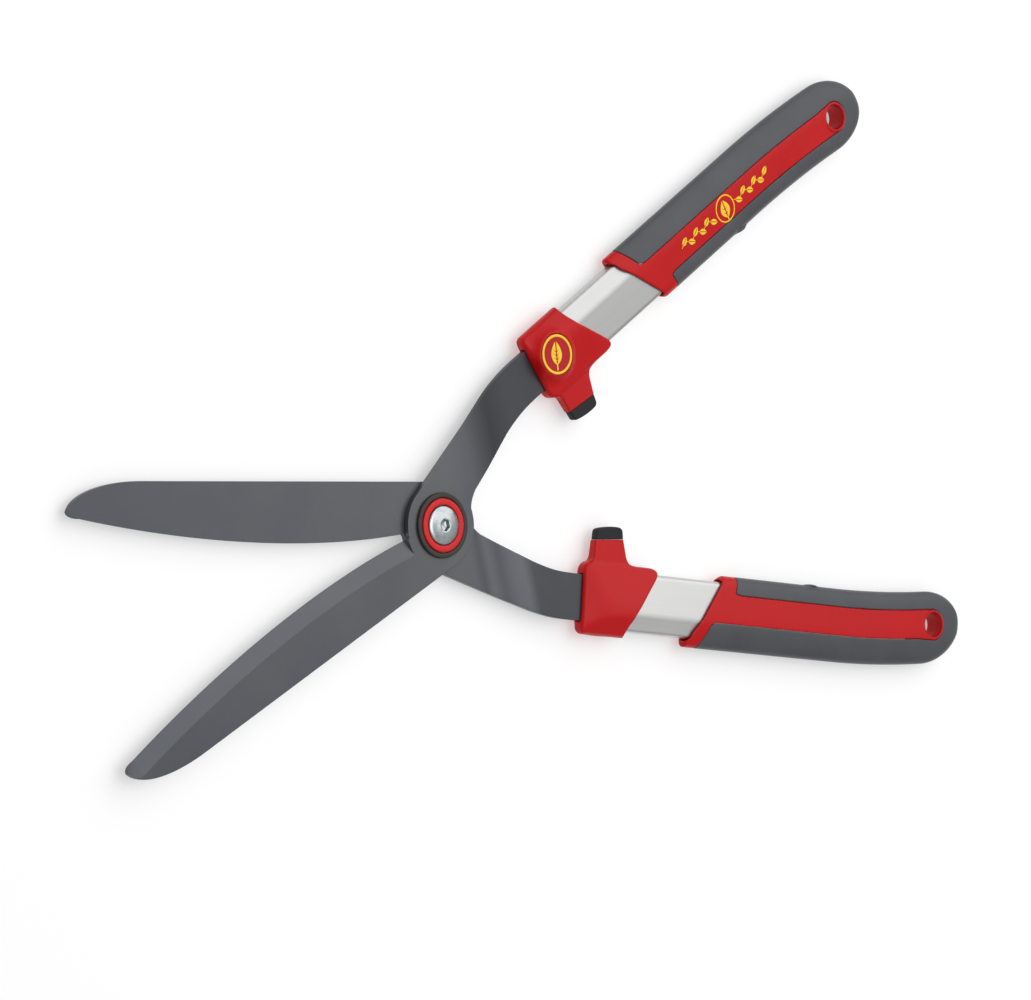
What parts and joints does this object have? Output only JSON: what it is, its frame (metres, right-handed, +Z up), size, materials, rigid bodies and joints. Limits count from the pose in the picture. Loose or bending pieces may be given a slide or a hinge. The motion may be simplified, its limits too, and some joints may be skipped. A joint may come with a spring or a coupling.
{
  "type": "hedge shears",
  "caption": "Two-handed hedge shears with long straight blades, oval tube handles, rubber bumpers and soft grips, opening on a bolted pivot.",
  "frame": {"origin": "on the pivot axis, at the flat surface that the shears lie on", "axes": "+X midway between the two handles, so the blades point towards -X; +Z up along the pivot axis, on the side of the bolt's head; +Y towards the front half's handle"},
  "size_m": [0.5892, 0.3296, 0.017],
  "materials": {
    "coated_steel": "satin",
    "aluminium_tube": "satin",
    "red_plastic": "satin gloss",
    "soft_grip": "satin",
    "black_rubber": "matt",
    "black_plastic": "matt",
    "zinc_steel": "zinc plated",
    "spring_steel": "plain",
    "bronze": "plain",
    "badge": "printed gloss"
  },
  "bodies": {
    "front_half": {"front_blade": "coated_steel", "front_tube": "aluminium_tube", "front_tang_insert": "black_plastic", "front_tang_pin_1": "spring_steel", "front_tang_pin_2": "spring_steel", "front_collar": "red_plastic", "front_bumper_cap": "black_rubber", "front_badge": "badge", "front_grip_core": "red_plastic", "front_grip_sleeve": "soft_grip", "pivot_bolt": "zinc_steel", "pivot_bush": "bronze", "disc_spring": "spring_steel", "pivot_trim_ring": "red_plastic", "pivot_seal_ring": "black_rubber", "rear_washer": "zinc_steel", "lock_nut": "zinc_steel"},
    "rear_half": {"rear_blade": "coated_steel", "rear_tube": "aluminium_tube", "rear_tang_insert": "black_plastic", "rear_tang_pin_1": "spring_steel", "rear_tang_pin_2": "spring_steel", "rear_collar": "red_plastic", "rear_bumper_cap": "black_rubber", "rear_badge": "badge", "rear_grip_core": "red_plastic", "rear_grip_sleeve": "soft_grip"}
  },
  "joints": [
    {"name": "blade_pivot", "type": "hinge", "parent": "front_half", "child": "rear_half", "pos_m": [0, 0, 0], "axis": [0, 0, -1], "range_deg": [-29.3, 65]}
  ]
}
